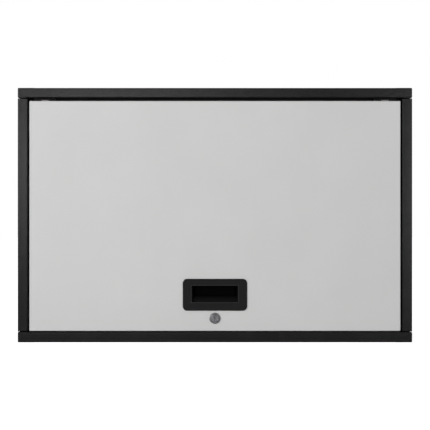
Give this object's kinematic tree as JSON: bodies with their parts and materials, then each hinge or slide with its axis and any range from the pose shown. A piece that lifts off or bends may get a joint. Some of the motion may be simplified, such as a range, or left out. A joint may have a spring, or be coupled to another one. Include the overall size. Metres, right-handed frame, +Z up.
{
  "type": "metal wall cabinet",
  "caption": "Steel wall cabinet with a light-grey flip-up door, recessed pull, cam lock, gas struts and wall-fixing rails.",
  "frame": {"origin": "middle of the underside, halfway between the front of the lock head and the wall plane", "axes": "+X to the right seen from the front, +Y towards the wall, +Z up; the door is on the -Y side"},
  "size_m": [0.711, 0.3076, 0.4585],
  "materials": {
    "body_black": "satin charcoal-black powder coat with a fine orange-peel grain",
    "hinge_black": "satin black powder coat",
    "door_grey": "smooth satin light-grey powder coat",
    "pull_black": "matt black moulded plastic",
    "bumper_rubber": "matt black rubber",
    "lock_bright": "polished nickel plate",
    "lock_zinc": "zinc-plated steel",
    "fastener_zinc": "zinc-plated steel",
    "stud_zinc": "zinc-plated steel",
    "bracket_black": "satin black powder coat",
    "strut_black": "semi-gloss black lacquer",
    "strut_rod_bright": "hard-chromed and ground",
    "socket_black": "matt black glass-filled nylon"
  },
  "bodies": {
    "cabinet": {"top_panel": "body_black", "bottom_panel": "body_black", "side_panel_left": "body_black", "side_panel_right": "body_black", "back_panel": "body_black", "hanging_rail": "body_black", "lower_rail": "body_black", "body_screws": "fastener_zinc", "door_bumper_left": "bumper_rubber", "door_bumper_right": "bumper_rubber", "cabinet_leaf_left": "hinge_black", "cabinet_rivets_left": "fastener_zinc", "hinge_pin_left": "fastener_zinc", "body_bracket_left": "bracket_black", "lower_stud_left": "stud_zinc", "cabinet_leaf_right": "hinge_black", "cabinet_rivets_right": "fastener_zinc", "hinge_pin_right": "fastener_zinc", "body_bracket_right": "bracket_black", "lower_stud_right": "stud_zinc"},
    "door": {"door_outer_skin": "door_grey", "door_inner_skin": "door_grey", "door_stiffener_left": "door_grey", "door_stiffener_right": "door_grey", "door_pull": "pull_black", "lock_housing": "lock_bright", "lock_nut": "lock_zinc", "door_leaf_left": "door_grey", "door_rivets_left": "fastener_zinc", "door_bracket_left": "bracket_black", "door_bracket_screws_left": "fastener_zinc", "stud_nut_left": "fastener_zinc", "door_leaf_right": "door_grey", "door_rivets_right": "fastener_zinc", "door_bracket_right": "bracket_black", "door_bracket_screws_right": "fastener_zinc", "stud_nut_right": "fastener_zinc"},
    "lock_plug": {"lock_plug": "lock_bright", "lock_cam": "lock_zinc", "cam_washer": "lock_zinc", "cam_screw": "lock_zinc"},
    "strut_tube_left": {"strut_cylinder_left": "strut_black", "lower_socket_left": "socket_black"},
    "strut_rod_left": {"strut_rod_left": "strut_rod_bright", "upper_socket_left": "socket_black", "upper_stud_left": "stud_zinc"},
    "strut_tube_right": {"strut_cylinder_right": "strut_black", "lower_socket_right": "socket_black"},
    "strut_rod_right": {"strut_rod_right": "strut_rod_bright", "upper_socket_right": "socket_black", "upper_stud_right": "stud_zinc"}
  },
  "joints": [
    {"name": "door_hinge", "type": "hinge", "parent": "cabinet", "child": "door", "pos_m": [0, -0.14885, 0.43775], "axis": [-1, 0, 0], "range_deg": [0, 90]},
    {"name": "lock_turn", "type": "hinge", "parent": "door", "child": "lock_plug", "pos_m": [0, -0.12475, 0.0435], "axis": [0, 1, 0], "range_deg": [0, 90]},
    {"name": "strut_swing_left", "type": "hinge", "parent": "cabinet", "child": "strut_tube_left", "pos_m": [-0.326, 0.04115, 0.32575], "axis": [1, 0, 0], "range_deg": [0, 11.39]},
    {"name": "strut_slide_left", "type": "slide", "parent": "strut_tube_left", "child": "strut_rod_left", "axis": [0, -0.8675, 0.4974], "range_m": [0, 0.05478]},
    {"name": "strut_swing_right", "type": "hinge", "parent": "cabinet", "child": "strut_tube_right", "pos_m": [0.326, 0.04115, 0.32575], "axis": [1, 0, 0], "range_deg": [0, 11.39]},
    {"name": "strut_slide_right", "type": "slide", "parent": "strut_tube_right", "child": "strut_rod_right", "axis": [0, -0.8675, 0.4974], "range_m": [0, 0.05478]}
  ],
  "couplings": [
    {"joint": "strut_swing_left", "follows": "door_hinge", "ratio": 0.12658},
    {"joint": "strut_slide_left", "follows": "door_hinge", "m_per_rad": 0.034874},
    {"joint": "strut_swing_right", "follows": "door_hinge", "ratio": 0.12658},
    {"joint": "strut_slide_right", "follows": "door_hinge", "m_per_rad": 0.034874}
  ]
}
